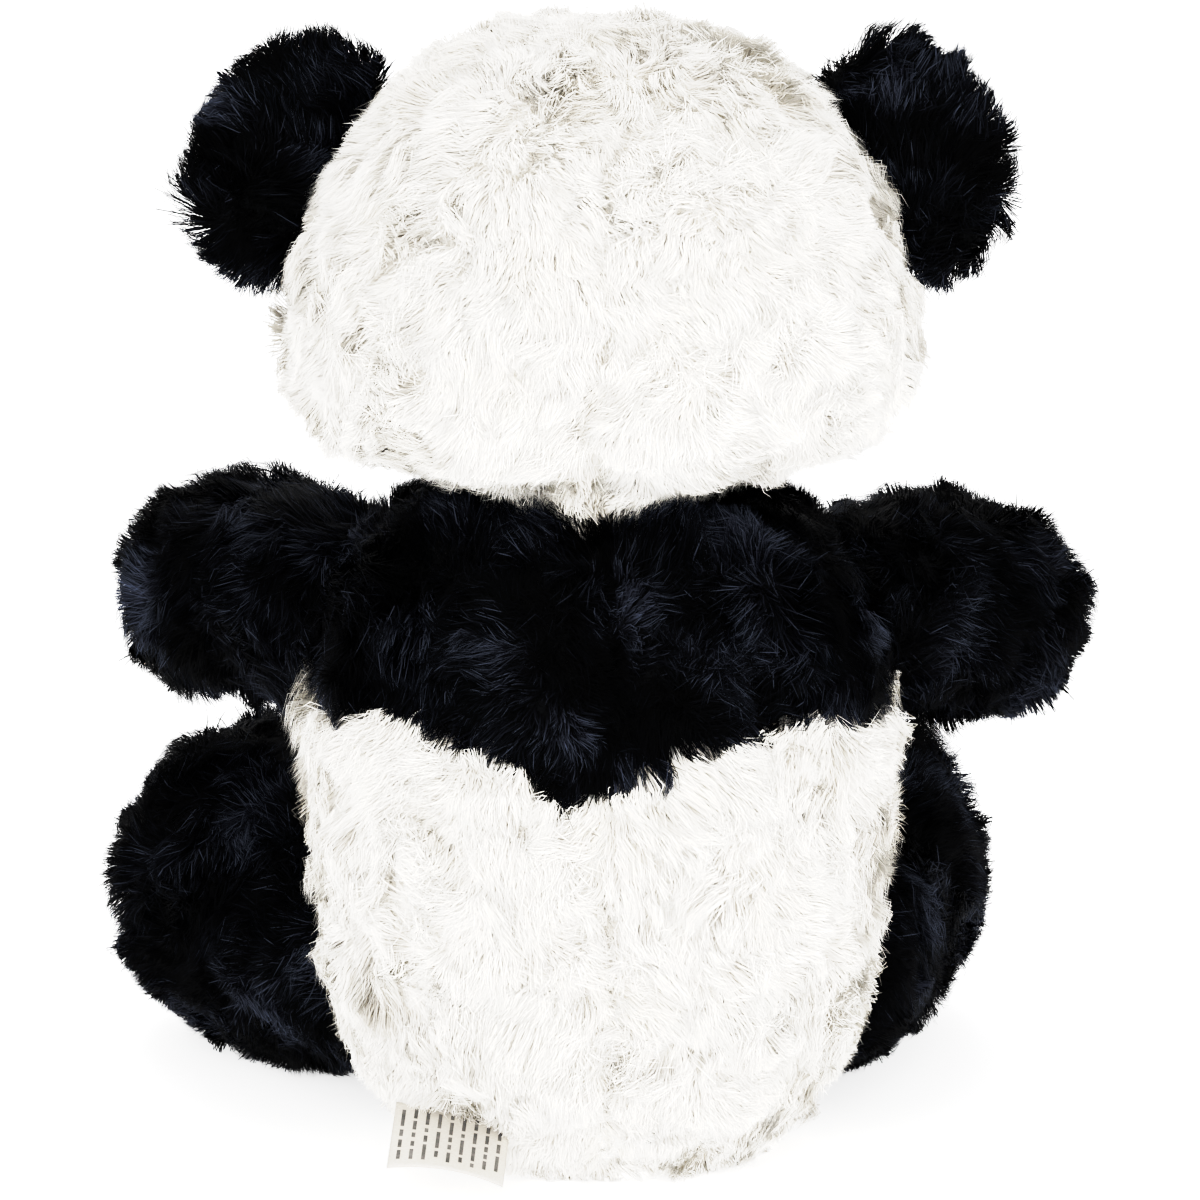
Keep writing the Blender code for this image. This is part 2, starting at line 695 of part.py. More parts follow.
torso_pieces = [torso_stuffing, label]
for side_name in SIDES:
    torso_pieces.append(
        cover(f"upper_back_{side_name}", TORSO_SECTIONS, torso_cavity, "black_plush",
              (behind_sides, half_blocks[side_name], above_yoke), torso_openings)
    )
    torso_pieces.append(
        cover(f"lower_back_{side_name}", TORSO_SECTIONS, torso_cavity, "white_plush",
              (behind_sides, half_blocks[side_name], below_yoke, above_seat), [label_slot])
    )
torso_pieces.append(
    cover("chest", TORSO_SECTIONS, torso_cavity, "black_plush", (before_sides, above_chest), torso_openings)
)
torso_pieces.append(
    cover("belly", TORSO_SECTIONS, torso_cavity, "white_plush",
          (before_sides, below_chest, above_seat), torso_openings)
)
torso_pieces.append(
    cover("seat", TORSO_SECTIONS, torso_cavity, "white_plush", (below_seat,), leg_openings + [label_slot])
)
for opening in torso_openings + [label_slot]:
    cut(torso_stuffing, opening)

# Arms: a front and a back panel and stuffing each

for side_name, side in SIDES.items():
    arm_frame = limb_frame(mirrored(SHOULDER, side), ARM_OUT[side_name], ARM_DROP[side_name], side)
    arm_cavity = soft_form(f"arm_{side_name}_cavity", ARM_SECTIONS, arm_frame, inset=CLOTH,
                           around=AROUND_LIMB, smooth=False)
    arm_pieces = [
        soft_form(f"arm_{side_name}_stuffing", ARM_SECTIONS, arm_frame, "stuffing",
                  inset=CLOTH + GAP, around=AROUND_LIMB, smooth=False)
    ]
    for face_name, low, high in (
        ("front", *((-FAR, -SEAM) if side > 0 else (SEAM, FAR))),
        ("back", *((SEAM, FAR) if side > 0 else (-FAR, -SEAM))),
    ):
        half = block(f"arm_{side_name}_{face_name}_half", (low, -FAR, -FAR), (high, FAR, FAR), arm_frame)
        arm_pieces.append(
            cover(f"arm_{side_name}_{face_name}", ARM_SECTIONS, arm_cavity, "black_plush",
                  (half,), (), arm_frame, AROUND_LIMB)
        )
    hang(arm_pieces, shoulder_pivots[side_name])

# Legs: an outer and an inner panel, a sole and stuffing each, flat where they lie on the floor

floor_room = block("floor_room", (-FAR, -FAR, -FAR), (FAR, FAR, FLOOR_PLAY))
floor_cloth = block("floor_cloth", (-FAR, -FAR, -FAR), (FAR, FAR, FLOOR_PLAY + CLOTH))
floor_stuffing = block("floor_stuffing", (-FAR, -FAR, -FAR), (FAR, FAR, FLOOR_PLAY + CLOTH + GAP))
for side_name, side in SIDES.items():
    leg_frame = limb_frame(mirrored(HIP, side), LEG_SPREAD[side_name], 0.0, side)
    leg_cavity = soft_form(f"leg_{side_name}_cavity", LEG_SECTIONS, leg_frame, inset=CLOTH,
                           around=AROUND_LIMB, smooth=False)
    cut(leg_cavity, floor_cloth)
    leg_stuffing = soft_form(f"leg_{side_name}_stuffing", LEG_SECTIONS, leg_frame, "stuffing",
                             inset=CLOTH + GAP, around=AROUND_LIMB, smooth=False)
    cut(leg_stuffing, floor_stuffing)
    upper_leg = block(f"upper_leg_{side_name}", (-FAR, -FAR, -FAR), (FAR, FAR, SOLE_SEAM - SEAM), leg_frame)
    sole_end = block(f"sole_end_{side_name}", (-FAR, -FAR, SOLE_SEAM + SEAM), (FAR, FAR, FAR), leg_frame)
    leg_pieces = [leg_stuffing]
    for face_name, low, high in (
        ("inner", *((-FAR, -SEAM) if side > 0 else (SEAM, FAR))),
        ("outer", *((SEAM, FAR) if side > 0 else (-FAR, -SEAM))),
    ):
        half = block(f"leg_{side_name}_{face_name}_half", (low, -FAR, -FAR), (high, FAR, FAR), leg_frame)
        leg_pieces.append(
            cover(f"leg_{side_name}_{face_name}", LEG_SECTIONS, leg_cavity, "black_plush",
                  (half, upper_leg), (floor_room,), leg_frame, AROUND_LIMB)
        )
    leg_pieces.append(
        cover(f"foot_{side_name}_sole", LEG_SECTIONS, leg_cavity, "black_plush",
              (sole_end,), (floor_room,), leg_frame, AROUND_LIMB)
    )
    hang(leg_pieces, hip_pivots[side_name])
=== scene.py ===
"""Looks of the sitting plush panda: sewn covers puffed up by their stuffing, long combed pile made of
real strands, plastic eyes and nose, a stitched mouth and a satin care label. Metres, +Z up, face -Y."""

import math

import bpy
import numpy as np
from mathutils import Matrix, Vector
from mathutils.bvhtree import BVHTree


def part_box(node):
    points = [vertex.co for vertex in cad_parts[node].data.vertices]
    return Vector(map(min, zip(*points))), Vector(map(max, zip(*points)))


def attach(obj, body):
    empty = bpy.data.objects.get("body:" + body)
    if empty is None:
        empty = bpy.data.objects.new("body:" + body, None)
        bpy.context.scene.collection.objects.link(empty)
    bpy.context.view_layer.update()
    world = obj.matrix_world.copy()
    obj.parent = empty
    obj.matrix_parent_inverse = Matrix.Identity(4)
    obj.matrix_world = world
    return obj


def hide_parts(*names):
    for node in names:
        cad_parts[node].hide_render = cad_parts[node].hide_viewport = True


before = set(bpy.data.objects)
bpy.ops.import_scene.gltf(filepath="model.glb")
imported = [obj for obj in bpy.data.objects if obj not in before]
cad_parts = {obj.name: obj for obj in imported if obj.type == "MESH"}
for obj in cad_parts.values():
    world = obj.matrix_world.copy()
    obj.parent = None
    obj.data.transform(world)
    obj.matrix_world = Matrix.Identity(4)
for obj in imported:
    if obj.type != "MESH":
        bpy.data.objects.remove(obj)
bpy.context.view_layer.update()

SEED = 7

# The camera: behind the toy, a little above it.
CAMERA_TARGET = Vector((0, -0.03, 0.1570))
CAMERA_DISTANCE = 2.0
CAMERA_ELEVATION = 15
FRAME_WIDTH = 0.356  # what the camera sees across at the target
SENSOR = 36
ROOM_LIGHT = 0.74
FLOOR_GLOW = 0.42  # a lit sheet, so that the ground stays white under the toy
# The film's response: light that comes in, light that is shown. Bright tones lie close together.
RESPONSE = ((0.08, 0.08), (0.25, 0.48), (0.475, 0.80), (0.69, 0.905), (0.83, 0.948), (0.90, 0.965))

# Covers and stuffing.
VOXEL = 0.0036
SMOOTH_PASSES = 10
STUFFING_PRESSURE = 4
STUFFING_STEPS = 20
MOST_SWELLING = 0.0028
SEAM_DEPTH = 0.0022
SEAM_WIDTH = 0.0045
BACKING = 0.0012  # the knitted cloth that the pile stands on

# Pile.
STRAND_STEPS = (0, 0.5, 1)
STRAND_TAPER = (1, 0.8, 0)
STRAND_WIDTH = 0.00036
STRAND_ROLL = 0.4  # how far the ribbons turn about their length, in radians
SOFTNESS = 0.85  # how much of a strand's shading comes from the cloth under it
LOCK_SIZE = 0.0058
TUFT_SIZE = 0.0019
TUFT_PULL = 0.45
STRAY_SHARE = 0.06  # strands that stay out of the locks
HIDDEN_DEPTH = 0.0015  # no strand is rooted deeper than this inside another body
FLOOR_CLEARANCE = 0.0004
SEATED_HEIGHT = 0.004  # pile rooted lower than this and facing down would be crushed under the seat
# PARTING also lowers the strands' tint along the centre seams: painted shade in the seam's hollow.
PARTING = 0.5  # share of the pile's length that is caught in the centre seams
PARTING_WIDTH = 0.0035
PRESSED = 0.4  # share of the pile's length that the toy's weight takes where it meets the floor
ROOT_DEPTH = 0.0004
STUFFING_LUMPS = 0.0012

# Trim.
EYE_RADIUS = 0.006
EYE_HEIGHT = 0.0042
EYE_SHANK = 0.27  # shank radius as a share of the eye's
NOSE_HEIGHT = 0.0052
NOSE_SHANK = 0.16
SHANK_LENGTH = 0.012
RIM_EDGE = 0.0005
THREAD_RADIUS = 0.0009
MOUTH_CLEARANCE = 0.0026  # the pile is shaved this far from the stitches
THREAD_LAY = 0.0030  # length of one full twist
MOUTH_STEPS = 14
MOUTH_SAG = 0.0022
MOUTH_INSET = 0.0012  # from the ends of the CAD stitching to those of the thread
LABEL_FOLD = 0.0004  # radius of the fold
LABEL_CURL = 0.0034
LABEL_LIFT = 0.0012
LABEL_THICKNESS = 0.00016
INK_LIFT = 0.00003
LABEL_ROWS = 9
LABEL_BAR = 0.0011
LABEL_MARGIN = 0.0016
PILE_SHARE = 1.0  # of the strands of the finished toy

# Floor, backdrop and lights: name, place, size and power in watts.
FLOOR_SIZE = 30
BACKDROP_LIGHT = 1.2
LIGHTS = (
    ("key", (0.5, 1.6, 1.0), 1.4, 10),
    ("fill", (-1.0, 1.2, 0.5), 1.4, 7),
    ("top", (0.0, -0.3, 1.8), 1.2, 3),
    ("front", (0.3, -1.6, 0.9), 1.6, 10),
)

HEAD_PANELS = ("head_back_left", "head_back_right", "face_left", "face_right", "forehead", "chin", "muzzle",
               "eye_patch_left", "eye_patch_right")
TORSO_PANELS = ("upper_back_left", "upper_back_right", "lower_back_left", "lower_back_right",
                "chest", "belly", "seat")
WHITE_PANELS = HEAD_PANELS[:7] + ("lower_back_left", "lower_back_right", "belly", "seat", "neck_stuffing")
SIDES = ("left", "right")

STUFFING = {"head_stuffing": "head", "muzzle_stuffing": "head", "body_stuffing": "torso"}
STUFFING.update({limb + side + "_stuffing": limb + side for limb in ("arm_", "leg_") for side in SIDES})


# ---------------------------------------------------------------- numbers in space

def unit(vectors):
    return vectors / np.maximum(np.linalg.norm(vectors, axis=1, keepdims=True), 1e-9)


def waves(points, size, seed, count=10):
    """A smooth vector field without a grid, about -1 to 1: count plane waves of roughly that size."""
    draw = np.random.default_rng(seed)
    field = np.zeros((len(points), 3))
    for axis in range(3):
        directions = unit(draw.normal(size=(count, 3)))
        lengths = size * draw.uniform(0.6, 1.7, count)
        phases = draw.uniform(0, 2 * math.pi, count)
        turns = points @ (directions / lengths[:, None]).T * 2 * math.pi
        field[:, axis] = np.sin(turns + phases).sum(axis=1) / math.sqrt(count / 2)
    return field


def smooth_step(value, low, high):
    t = np.clip((value - low) / (high - low), 0, 1)
    return t * t * (3 - 2 * t)


def coordinates(mesh):
    points = np.empty(len(mesh.vertices) * 3, np.float32)
    mesh.vertices.foreach_get("co", points)
    return points.reshape(-1, 3).astype(float)


def vertex_normals(mesh):
    normals = np.empty(len(mesh.vertices) * 3, np.float32)
    mesh.vertices.foreach_get("normal", normals)
    return normals.reshape(-1, 3).astype(float)


def triangles(mesh):
    mesh.calc_loop_triangles()
    corners = np.empty(len(mesh.loop_triangles) * 3, np.int32)
    mesh.loop_triangles.foreach_get("vertices", corners)
    return corners.reshape(-1, 3)


def node_arrays(nodes):
    """(points, triangles, node number of each triangle) of several CAD nodes."""
    points, faces, owner, start = [], [], [], 0
    for number, name in enumerate(nodes):
        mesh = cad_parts[name].data
        own = triangles(mesh)
        points.append(coordinates(mesh))
        faces.append(own + start)
        owner.append(np.full(len(own), number))
        start += len(points[-1])
    return np.concatenate(points), np.concatenate(faces), np.concatenate(owner)


def tree_of(points, faces):
    return BVHTree.FromPolygons([tuple(p) for p in points], [tuple(f) for f in faces.tolist()])


def world_tree(piece):
    """The search tree of a piece where it stands."""
    matrix = np.array(piece.matrix_world)
    points = coordinates(piece.data) @ matrix[:3, :3].T + matrix[:3, 3]
    return tree_of(points, triangles(piece.data))


def use_material(node, material):
    """A CAD node whose shape is right keeps it and takes a better finish."""
    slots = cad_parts[node].data.materials
    slots.clear()
    slots.append(material)


# ---------------------------------------------------------------- meshes

def make_mesh(name, points, loops, sizes, smooth=True):
    """A mesh from flat arrays: points, the corners of every face on end, and the faces' corner counts."""
    mesh = bpy.data.meshes.new(name)
    mesh.vertices.add(len(points))
    mesh.vertices.foreach_set("co", np.asarray(points, np.float32).ravel())
    mesh.loops.add(len(loops))
    mesh.loops.foreach_set("vertex_index", np.asarray(loops, np.int32))
    mesh.polygons.add(len(sizes))
    starts = np.concatenate([[0], np.cumsum(sizes)[:-1]])
    mesh.polygons.foreach_set("loop_start", starts.astype(np.int32))
    mesh.polygons.foreach_set("use_smooth", np.full(len(sizes), smooth))
    mesh.update(calc_edges=True)
    return mesh


def make_object(name, mesh, material=None):
    made = bpy.data.objects.new(name, mesh)
    bpy.context.scene.collection.objects.link(made)
    if material:
        mesh.materials.append(material)
    return made


def apply_modifiers(made):
    """The object's mesh becomes what its modifiers make of it."""
    graph = bpy.context.evaluated_depsgraph_get()
    mesh = bpy.data.meshes.new_from_object(made.evaluated_get(graph))
    made.modifiers.clear()
    made.data = mesh
    return made


# ---------------------------------------------------------------- materials

def shader(name, **values):
    """(material, its nodes, its links, its Principled shader) with these sockets set."""
    material = bpy.data.materials.new(name)
    material.use_nodes = True
    nodes, links = material.node_tree.nodes, material.node_tree.links
    principled = nodes["Principled BSDF"]
    for socket, value in values.items():
        principled.inputs[socket.replace("_", " ")].default_value = value
    return material, nodes, links, principled


def ramp(nodes, links, value, stops):
    """A colour ramp over value; stops are (place, (red, green, blue))."""
    node = nodes.new("ShaderNodeValToRGB")
    elements = node.color_ramp.elements
    while len(elements) < len(stops):
        elements.new(0.5)
    for element, (place, colour) in zip(elements, stops):
        element.position = place
        element.color = (*colour, 1)
    links.new(value, node.inputs["Fac"])
    return node.outputs["Color"]


def pile_material(name, along, across, **values):
    """Fibre: u runs over the strands' tints, whose high end in the black pile is painted glints, and v from
    the root of a strand to its tip, darker at the root as painted shade deep in the pile.
    """
    material, nodes, links, principled = shader(name, **values)
    place = nodes.new("ShaderNodeUVMap")
    place.uv_map = "OFBake"
    parts = nodes.new("ShaderNodeSeparateXYZ")
    links.new(place.outputs["UV"], parts.inputs["Vector"])
    mixed = nodes.new("ShaderNodeMix")
    mixed.data_type = "RGBA"
    mixed.blend_type = "MULTIPLY"
    mixed.inputs["Factor"].default_value = 1
    links.new(ramp(nodes, links, parts.outputs["Y"], along), mixed.inputs["A"])
    links.new(ramp(nodes, links, parts.outputs["X"], across), mixed.inputs["B"])
    links.new(mixed.outputs["Result"], principled.inputs["Base Color"])
    return material


def cloth_material(name, dark, light, thread_size, **values):
    """Knitted backing: fine loops in two directions with a cloudy tone, all in object space."""
    material, nodes, links, principled = shader(name, **values)
    place = nodes.new("ShaderNodeTexCoord")
    loops = nodes.new("ShaderNodeTexVoronoi")
    loops.inputs["Scale"].default_value = 1 / thread_size
    links.new(place.outputs["Object"], loops.inputs["Vector"])
    cloud = nodes.new("ShaderNodeTexNoise")
    cloud.inputs["Scale"].default_value = 160
    cloud.inputs["Detail"].default_value = 5
    links.new(place.outputs["Object"], cloud.inputs["Vector"])
    links.new(ramp(nodes, links, cloud.outputs["Fac"], ((0.3, dark), (0.7, light))),
              principled.inputs["Base Color"])
    bump = nodes.new("ShaderNodeBump")
    bump.inputs["Strength"].default_value = 0.5
    bump.inputs["Distance"].default_value = thread_size
    links.new(loops.outputs["Distance"], bump.inputs["Height"])
    links.new(bump.outputs["Normal"], principled.inputs["Normal"])
    return material


def plastic_material(name, base, speck, grain, **values):
    """Moulded plastic: a faint mottle in the colour and a fine grain in the surface."""
    material, nodes, links, principled = shader(name, **values)
    place = nodes.new("ShaderNodeTexCoord")
    mottle = nodes.new("ShaderNodeTexNoise")
    mottle.inputs["Scale"].default_value = 420
    mottle.inputs["Detail"].default_value = 4
    links.new(place.outputs["Object"], mottle.inputs["Vector"])
    links.new(ramp(nodes, links, mottle.outputs["Fac"], ((0.35, base), (0.75, speck))),
              principled.inputs["Base Color"])
    bump = nodes.new("ShaderNodeBump")
    bump.inputs["Strength"].default_value = grain
    bump.inputs["Distance"].default_value = 0.0001
    links.new(mottle.outputs["Fac"], bump.inputs["Height"])
    links.new(bump.outputs["Normal"], principled.inputs["Normal"])
    return material


PILE = {
    "white": pile_material(
        "white_pile",
        # Root to tip: darker at the root, painted shade deep in the pile.
        ((0, (0.91, 0.865, 0.79)), (0.4, (0.95, 0.92, 0.865)), (1, (0.97, 0.95, 0.905))),
        # Tint ramp: random tone; its low end also carries the painted shade of the centre seams.
        ((0, (0.96, 0.945, 0.91)), (0.45, (1, 1, 1)), (1, (1, 0.995, 0.98))),
        Roughness=0.6, Sheen_Weight=0.2, Sheen_Roughness=0.5, Specular_IOR_Level=0.15),
    "black": pile_material(
        "black_pile",
        # Root to tip: darker at the root, painted shade deep in the pile.
        ((0, (0.0002, 0.0002, 0.0003)), (0.5, (0.0012, 0.0013, 0.0019)), (1, (0.0045, 0.0052, 0.0072))),
        # Tint ramp: its high end, up to 28 times the base, is painted glints of sheen on the black locks.
        ((0, (0.2, 0.2, 0.2)), (0.5, (0.4, 0.4, 0.4)), (0.75, (3.2, 3.3, 3.5)), (1, (28.0, 29.0, 30.0))),
        Roughness=0.5, Specular_IOR_Level=0.02),
}
BACKING_CLOTH = {
    "white": cloth_material("white_backing", (0.86, 0.835, 0.78), (0.95, 0.935, 0.90), 0.0011,
                            Roughness=0.9, Sheen_Weight=0.2),
    "black": cloth_material("black_backing", (0.0008, 0.0009, 0.0012), (0.0024, 0.0028, 0.0036), 0.0011,
                            Roughness=0.85, Specular_IOR_Level=0.1),
}
FIBREFILL = cloth_material("fibrefill", (0.72, 0.72, 0.70), (0.92, 0.92, 0.91), 0.0025,
                           Roughness=0.95, Sheen_Weight=0.4)


# ---------------------------------------------------------------- puffed covers

def joined_form(name, nodes):
    """One closed skin round several CAD solids, with their facets smoothed away."""
    points, faces, _ = node_arrays(nodes)
    form = make_object(name, make_mesh(name, points, faces.ravel(), np.full(len(faces), 3)))
    remesh = form.modifiers.new("weld", "REMESH")
    remesh.mode = "VOXEL"
    remesh.voxel_size = VOXEL
    smooth = form.modifiers.new("smooth", "SMOOTH")
    smooth.factor = 0.5
    smooth.iterations = SMOOTH_PASSES
    return apply_modifiers(form)


def nearest_owner(tree, owner, points):
    """Which CAD node each point lies nearest to."""
    return np.array([owner[tree.find_nearest(Vector(p))[2]] for p in points])


def seam_points(form, face_owner):
    """True for each of the form's points that panels of two kinds share."""
    low = np.full(len(form.data.vertices), 999)
    high = np.full(len(form.data.vertices), -1)
    for face, owner in zip(form.data.polygons, face_owner):
        for corner in face.vertices:
            low[corner] = min(low[corner], owner)
            high[corner] = max(high[corner], owner)
    return low != high


def puff(form, seam):
    """The stuffing presses the cover out between its seams, which hold it back like a quilt's."""
    rest = coordinates(form.data)
    held = form.vertex_groups.new(name="seams")
    held.add([int(i) for i in np.flatnonzero(seam)], 1.0, "REPLACE")
    cloth = form.modifiers.new("stuffing", "CLOTH")
    cloth.settings.quality = 4
    cloth.settings.use_pressure = True
    cloth.settings.uniform_pressure_force = STUFFING_PRESSURE
    cloth.settings.vertex_group_mass = held.name
    cloth.settings.effector_weights.gravity = 0
    cloth.point_cache.frame_end = STUFFING_STEPS
    for step in range(1, STUFFING_STEPS + 1):
        bpy.context.scene.frame_set(step)
    graph = bpy.context.evaluated_depsgraph_get()
    moved = coordinates(form.evaluated_get(graph).data) - rest
    form.modifiers.clear()
    bpy.context.scene.frame_set(1)
    far = np.maximum(np.linalg.norm(moved, axis=1, keepdims=True), 1e-9)
    moved *= MOST_SWELLING * np.tanh(far / MOST_SWELLING) / far
    form.data.vertices.foreach_set("co", (rest + moved).astype(np.float32).ravel())
    form.data.update()


def draw_in_seams(form, seam):
    """The sewing thread pulls the cover into a soft groove along each seam."""
    points, normals = coordinates(form.data), vertex_normals(form.data)
    line = points[seam]
    if len(line) == 0:
        return
    nearest = np.full(len(points), 1.0)
    for start in range(0, len(line), 200):
        gaps = np.linalg.norm(points[:, None] - line[None, start:start + 200], axis=2)
        nearest = np.minimum(nearest, gaps.min(axis=1))
    depth = SEAM_DEPTH * np.exp(-((nearest / SEAM_WIDTH) ** 2))
    form.data.vertices.foreach_set("co", (points - normals * depth[:, None]).astype(np.float32).ravel())
    form.data.update()


def settle_on_floor(form):
    """What would reach into the floor lies flat on it."""
    points = coordinates(form.data)
    points[:, 2] = np.maximum(points[:, 2], FLOOR_CLEARANCE)
    form.data.vertices.foreach_set("co", points.astype(np.float32).ravel())
    form.data.update()


class Form:
    """The puffed cover of one body, and which panel each of its places belongs to."""

    def __init__(self, body, panels, filling):
        self.body = body
        self.panels = panels
        self.object = joined_form(body + "_form", panels + filling)
        points, faces, owner = node_arrays(panels)
        self.cad_tree, self.owner = tree_of(points, faces), owner
        centres = [tuple(face.center) for face in self.object.data.polygons]
        self.face_owner = nearest_owner(self.cad_tree, owner, centres)
        seam = seam_points(self.object, self.face_owner)
        puff(self.object, seam)
        draw_in_seams(self.object, seam)
        settle_on_floor(self.object)
        self.points = coordinates(self.object.data)
        self.normals = vertex_normals(self.object.data)
        self.corners = triangles(self.object.data)
        self.tree = tree_of(self.points, self.corners)

    def clearance(self, trees):
        """How far each point of the form lies outside the other closed shapes; below zero, inside."""
        clear = np.full(len(self.points), 1.0)
        for tree in trees:
            for number, point in enumerate(self.points):
                place, normal, _, far = tree.find_nearest(Vector(point), 0.03)
                if place is not None:
                    out = (Vector(point) - place).dot(normal)
                    clear[number] = min(clear[number], math.copysign(far, out))
        return clear


def backing_piece(form, number, panel, colour):
    """The knitted cloth of one panel, with its own thickness inwards."""
    faces = [face for face, owner in zip(form.object.data.polygons, form.face_owner) if owner == number]
    loops = np.concatenate([np.array(face.vertices) for face in faces])
    used, loops = np.unique(loops, return_inverse=True)
    mesh = make_mesh(panel + "_backing", form.points[used], loops, [len(face.vertices) for face in faces])
    piece = make_object(panel + "_backing", mesh, BACKING_CLOTH[colour])
    thick = piece.modifiers.new("thickness", "SOLIDIFY")
    thick.thickness = BACKING
    thick.offset = -1
    apply_modifiers(piece)
    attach(piece, form.body)
    return piece


# ---------------------------------------------------------------- pile

def comb_directions(body, points):
    """Which way the pile of a body was brushed, before it is laid on the surface."""
    x, z = points[:, 0], points[:, 2]
    down = np.tile([0.0, 0.0, -1.0], (len(points), 1))
    if body == "head":
        low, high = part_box("head_stuffing")
        middle = (low + high) / 2
        spread = np.sign(x) * smooth_step(np.abs(x), 0.0, 0.05)
        lift = smooth_step(z, middle.z + 0.02, high.z)
        return np.stack([1.1 * spread, 0.3 * lift, -1.0 + 0.8 * lift], axis=1)
    if body.startswith("ear"):
        low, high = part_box(body + "_back")
        base = np.array([(low.x + high.x) / 2 * 0.72, (low.y + high.y) / 2, low.z])
        return unit(points - base)
    if body.startswith(("arm", "leg")):
        low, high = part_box(body + "_stuffing")
        outward = np.array([0.5, -0.5, -0.1]) if body.startswith("arm") else np.array([0.3, -0.8, -0.1])
        outward[0] *= 1 if high.x + low.x > 0 else -1
        return 0.6 * unit(outward[None]) + 0.55 * down
    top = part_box("body_stuffing")[1].z
    shoulder = smooth_step(z, top - 0.028, top - 0.008)[:, None]
    return down * (1 - 2.6 * shoulder) + np.stack([0.25 * np.sign(x), 0 * x, 0 * x], axis=1)


def clump(cells, values):
    """The mean of values over each cell, handed back to every member of the cell."""
    count = np.bincount(cells)
    means = np.stack([np.bincount(cells, values[:, k]) / count for k in range(values.shape[1])], axis=1)
    return means[cells]


def cells_of(points, size, seed):
    """Numbers of the wobbly cells of that size which points fall into."""
    warped = points / size + 0.45 * waves(points, size * 2.2, seed)
    grid = np.floor(warped).astype(np.int64)
    key = (grid[:, 0] * 73856093) ^ (grid[:, 1] * 19349663) ^ (grid[:, 2] * 83492791)
    return np.unique(key, return_inverse=True)[1].reshape(-1)


# Each kind of pile: length, rise off the cloth, swirl, strands for each square millimetre, width.
LENGTH, RISE, SWIRL, DENSITY, BREADTH = range(5)
PILE_STYLES = {
    "long": (0.0120, 0.52, 0.62, 3.1, 0.95),
    "belly": (0.0118, 0.52, 0.62, 2.2, 1.05),
    "limb": (0.0120, 0.55, 0.80, 2.3, 1.0),
    "face": (0.0080, 0.52, 0.50, 2.3, 0.9),
    "short": (0.0034, 0.62, 0.35, 3.0, 0.8),
}


def style_of(panel):
    if panel.startswith(("muzzle", "eye_patch")):
        return "short"
    if panel.startswith(("face", "chin", "forehead")):
        return "face"
    if panel.startswith(("arm", "leg", "foot", "ear")):
        return "limb"
    if panel == "belly":
        return "belly"
    return "long"


def near_line(points, line, reach):
    """Which points lie closer than reach to one of the line's points."""
    near = np.all((points > line.min(axis=0) - reach) & (points < line.max(axis=0) + reach), axis=1)
    gaps = np.linalg.norm(points[near][:, None] - line[None], axis=2)
    near[near] = gaps.min(axis=1) < reach
    return near


def scatter(form, clear, draw):
    """Where the pile of a form is rooted: roots, normals, the panel and the style of each strand."""
    a, b, c = (form.points[form.corners[:, k]] for k in range(3))
    areas = np.linalg.norm(np.cross(b - a, c - a), axis=1) / 2
    densest = max(PILE_STYLES[style_of(panel)][DENSITY] for panel in form.panels) * PILE_SHARE
    count = int(areas.sum() * 1e6 * densest)
    chosen = draw.choice(len(areas), count, p=areas / areas.sum())
    u, v = draw.random(count), draw.random(count)
    over = u + v > 1
    u[over], v[over] = 1 - u[over], 1 - v[over]
    share = np.stack([1 - u - v, u, v], axis=1)
    corner = form.corners[chosen]
    roots = (form.points[corner] * share[:, :, None]).sum(axis=1)
    normals = unit((form.normals[corner] * share[:, :, None]).sum(axis=1))
    free = (clear[corner] * share).sum(axis=1)
    keep = (free > -HIDDEN_DEPTH) & ((roots[:, 2] > SEATED_HEIGHT) | (normals[:, 2] > -0.8))
    if form.body == "head":
        keep &= ~near_line(roots, mouth_line, MOUTH_CLEARANCE)
    roots, normals = roots[keep], normals[keep]
    panel = nearest_owner(form.cad_tree, form.owner, roots)
    styles = np.array([PILE_STYLES[style_of(name)] for name in form.panels])[panel]
    keep = draw.random(len(roots)) < styles[:, DENSITY] * PILE_SHARE / densest
    return roots[keep], normals[keep], panel[keep], styles[keep]


def combed(body, roots, normals, styles, draw, seed):
    """(lengths, tips, patchy tone that in the black pile places painted sheen, and the parting, which also
    lowers the tint as painted shade along the centre seams) of the strands once the pile is brushed along
    the cloth.
    """
    count = len(roots)
    swirl = styles[:, SWIRL:SWIRL + 1]
    flow = comb_directions(body, roots) + swirl * waves(roots, 0.045, seed + 1)
    flow += 0.6 * swirl * waves(roots, 0.015, seed + 2)
    flow += 0.40 * draw.normal(size=(count, 3))
    flow = unit(flow - normals * (flow * normals).sum(axis=1, keepdims=True))
    patchy = waves(roots, 0.022, seed + 3)
    lengths = styles[:, LENGTH] * (1 + 0.16 * patchy[:, 0] + draw.normal(0, 0.10, count))
    lengths *= 1 - PRESSED * (1 - smooth_step(roots[:, 2], SEATED_HEIGHT, 0.05))
    parting_and_seam_shade = np.exp(-((roots[:, 0] / PARTING_WIDTH) ** 2))
    parting_and_seam_shade = parting_and_seam_shade * (styles[:, LENGTH] == PILE_STYLES["long"][LENGTH])
    lengths *= 1 - PARTING * parting_and_seam_shade
    rise = styles[:, RISE] * (1 + 0.22 * patchy[:, 1] + draw.normal(0, 0.10, count))
    lengths, rise = lengths[:, None], np.clip(rise, 0.25, 0.95)[:, None]
    reach = np.sqrt(np.maximum(1 - rise ** 2, 0.05))
    tips = roots + lengths * (normals * rise + flow * reach)
    return lengths, tips, 0.16 * patchy[:, 2], PARTING * parting_and_seam_shade


